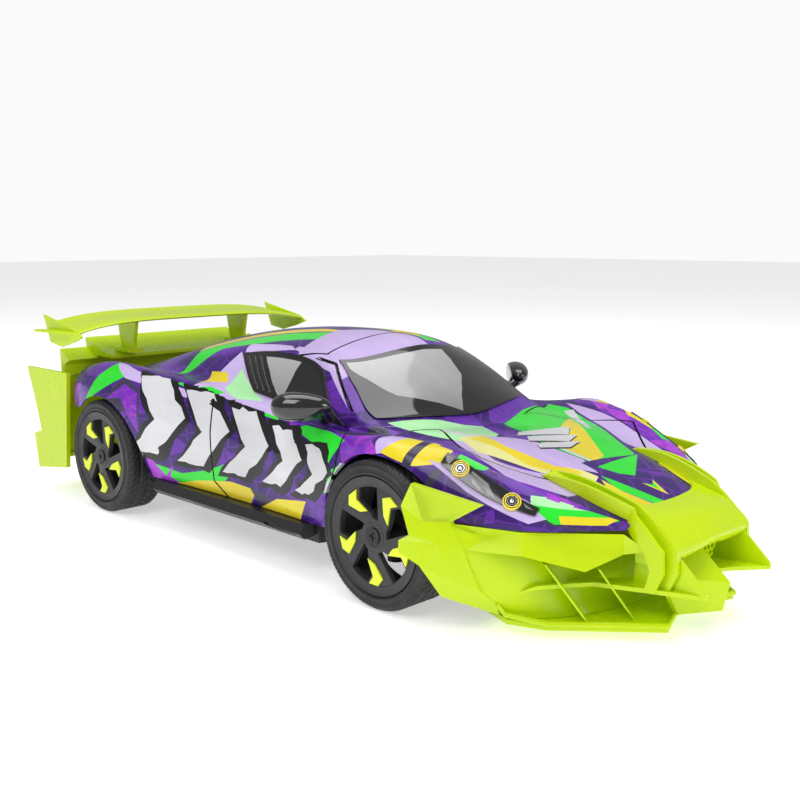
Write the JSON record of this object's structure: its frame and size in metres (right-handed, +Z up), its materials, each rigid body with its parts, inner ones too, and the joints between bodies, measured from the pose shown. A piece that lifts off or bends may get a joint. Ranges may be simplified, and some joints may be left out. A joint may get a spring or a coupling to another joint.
{
  "type": "radio-controlled drift car",
  "caption": "Low supercar-shaped radio-controlled drift car with a purple and green graphic shell, lime bumper and high rear wing, and dark five-spoke wheels with yellow inserts.",
  "frame": {"origin": "on the ground, under the centre of the car's outline", "axes": "+X to the nose, +Y to the car's left side, +Z up"},
  "size_m": [0.459, 0.198, 0.1168],
  "materials": {
    "lime_plastic": "gloss",
    "printed_shell": "gloss",
    "gloss_black": "gloss",
    "black_plastic": "satin",
    "tyre_rubber": "matte",
    "rim_plastic": "satin",
    "insert_yellow": "gloss",
    "steel": "satin",
    "brass": "satin",
    "white_plastic": "satin",
    "circuit_board": "satin",
    "battery_wrap": "satin",
    "wire_cover": "satin"
  },
  "bodies": {
    "chassis": {"chassis_tub": "black_plastic", "side_skirt_left": "black_plastic", "side_skirt_right": "black_plastic", "body_shell": "printed_shell", "windscreen": "gloss_black", "side_window_left": "gloss_black", "side_window_right": "gloss_black", "headlight_left": "gloss_black", "headlight_right": "gloss_black", "mirror_left": "gloss_black", "mirror_right": "gloss_black", "front_bumper": "lime_plastic", "front_splitter": "lime_plastic", "grille_mesh": "black_plastic", "rear_bumper": "lime_plastic", "ducktail": "lime_plastic", "rear_wing": "lime_plastic", "wing_stays": "lime_plastic", "body_posts": "black_plastic", "body_screws": "steel", "battery_pack": "battery_wrap", "battery_door": "black_plastic", "battery_door_screw": "steel", "receiver_board": "circuit_board", "antenna_wire": "black_plastic", "motor_wires": "wire_cover", "power_switch_case": "black_plastic", "steering_servo": "black_plastic", "kingpins": "steel", "gearbox_case": "black_plastic", "gearbox_cover": "black_plastic", "gearbox_screws": "steel", "axle_bushes": "brass", "idler_pin": "steel", "motor": "steel"},
    "rear_axle": {"rear_axle": "steel", "axle_gear": "white_plastic", "tyre_rear_left": "tyre_rubber", "rim_rear_left": "rim_plastic", "tyre_rear_right": "tyre_rubber", "rim_rear_right": "rim_plastic", "rear_wheel_screws": "black_plastic", "rim_inserts_rear": "insert_yellow"},
    "idler": {"idler_gear": "white_plastic"},
    "pinion": {"motor_pinion": "brass"},
    "knuckle_left": {"knuckle_left": "black_plastic", "stub_axle_left": "steel"},
    "knuckle_right": {"knuckle_right": "black_plastic", "stub_axle_right": "steel"},
    "wheel_front_left": {"tyre_front_left": "tyre_rubber", "rim_front_left": "rim_plastic", "wheel_screw_front_left": "black_plastic", "rim_inserts_front_left": "insert_yellow"},
    "wheel_front_right": {"tyre_front_right": "tyre_rubber", "rim_front_right": "rim_plastic", "wheel_screw_front_right": "black_plastic", "rim_inserts_front_right": "insert_yellow"},
    "tie_rod": {"tie_rod": "black_plastic"},
    "servo_horn": {"servo_horn": "white_plastic"},
    "power_switch": {"power_switch_slider": "white_plastic"}
  },
  "joints": [
    {"name": "rear_axle_spin", "type": "hinge", "parent": "chassis", "child": "rear_axle", "pos_m": [-0.1345, 0, 0.034], "axis": [0, 1, 0], "continuous": true},
    {"name": "idler_spin", "type": "hinge", "parent": "chassis", "child": "idler", "pos_m": [-0.11626, 0, 0.04], "axis": [0, 1, 0], "continuous": true},
    {"name": "pinion_spin", "type": "hinge", "parent": "chassis", "child": "pinion", "pos_m": [-0.09802, 0, 0.034], "axis": [0, 1, 0], "continuous": true},
    {"name": "steer_left", "type": "hinge", "parent": "chassis", "child": "knuckle_left", "pos_m": [0.1015, 0.072, 0.034], "axis": [0, 0, 1], "range_deg": [-22, 22]},
    {"name": "steer_right", "type": "hinge", "parent": "chassis", "child": "knuckle_right", "pos_m": [0.1015, -0.072, 0.034], "axis": [0, 0, 1], "range_deg": [-22.5, 22.5]},
    {"name": "wheel_front_left_spin", "type": "hinge", "parent": "knuckle_left", "child": "wheel_front_left", "pos_m": [0.1015, 0.072, 0.034], "axis": [0, 1, 0], "continuous": true},
    {"name": "wheel_front_right_spin", "type": "hinge", "parent": "knuckle_right", "child": "wheel_front_right", "pos_m": [0.1015, -0.072, 0.034], "axis": [0, 1, 0], "continuous": true},
    {"name": "tie_rod_slide", "type": "slide", "parent": "chassis", "child": "tie_rod", "axis": [0, 1, 0], "range_m": [-0.005, 0.005]},
    {"name": "servo_horn_turn", "type": "hinge", "parent": "chassis", "child": "servo_horn", "pos_m": [0.0795, 0, 0.025], "axis": [0, 0, 1], "range_deg": [-27, 27]},
    {"name": "power_switch_slide", "type": "slide", "parent": "chassis", "child": "power_switch", "axis": [1, 0, 0], "range_m": [0, 0.0028]}
  ],
  "couplings": [
    {"joint": "idler_spin", "follows": "rear_axle_spin", "ratio": -2.4286},
    {"joint": "pinion_spin", "follows": "rear_axle_spin", "ratio": 7.2857},
    {"joint": "steer_right", "follows": "steer_left", "ratio": 1},
    {"joint": "tie_rod_slide", "follows": "steer_left", "m_per_rad": -0.01179},
    {"joint": "servo_horn_turn", "follows": "steer_left", "ratio": -1.2}
  ]
}
